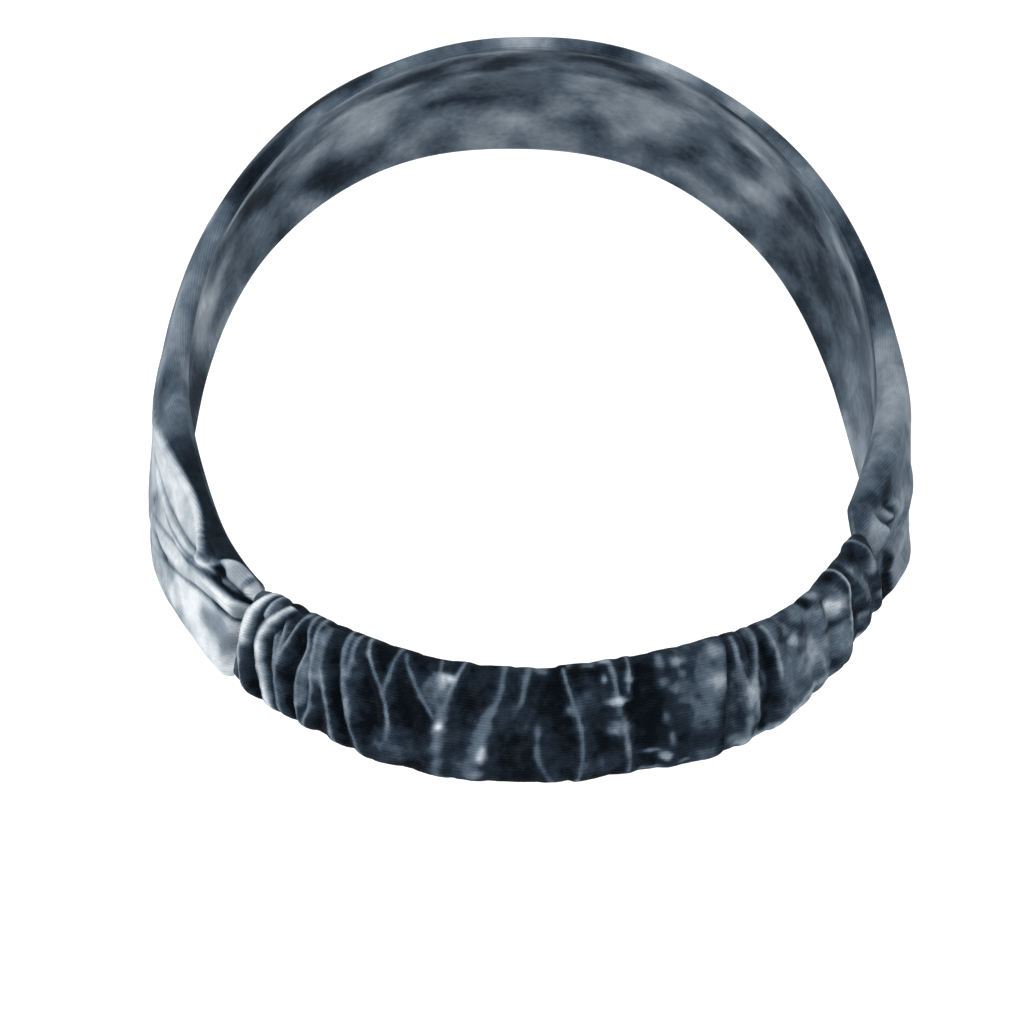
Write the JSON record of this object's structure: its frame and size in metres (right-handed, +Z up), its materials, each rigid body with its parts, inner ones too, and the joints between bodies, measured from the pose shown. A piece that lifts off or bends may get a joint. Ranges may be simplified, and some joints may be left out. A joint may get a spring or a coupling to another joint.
{
  "type": "wide headband",
  "caption": "Wide stretch headband of tie-dyed jersey, in its worn shape: a smooth wide panel over the head, pleated into a gathered elastic casing at the nape.",
  "frame": {"origin": "on the underside of the wide panel, at the top of the head that wears it", "axes": "+Z up as worn, +Y towards the front of the head, the gathered casing at the nape towards -Y, +X to the wearer's right"},
  "size_m": [0.1895, 0.1765, 0.1655],
  "materials": {
    "panel_jersey": "soft tie-dyed cotton jersey, off-white and blue-grey with dark navy blotches",
    "casing_jersey": "the same jersey where it took the most dye, near-black navy with blue-grey folds and pale spots"
  },
  "bodies": {
    "root": {"wide_panel": "panel_jersey", "elastic_casing": "casing_jersey"}
  },
  "joints": []
}
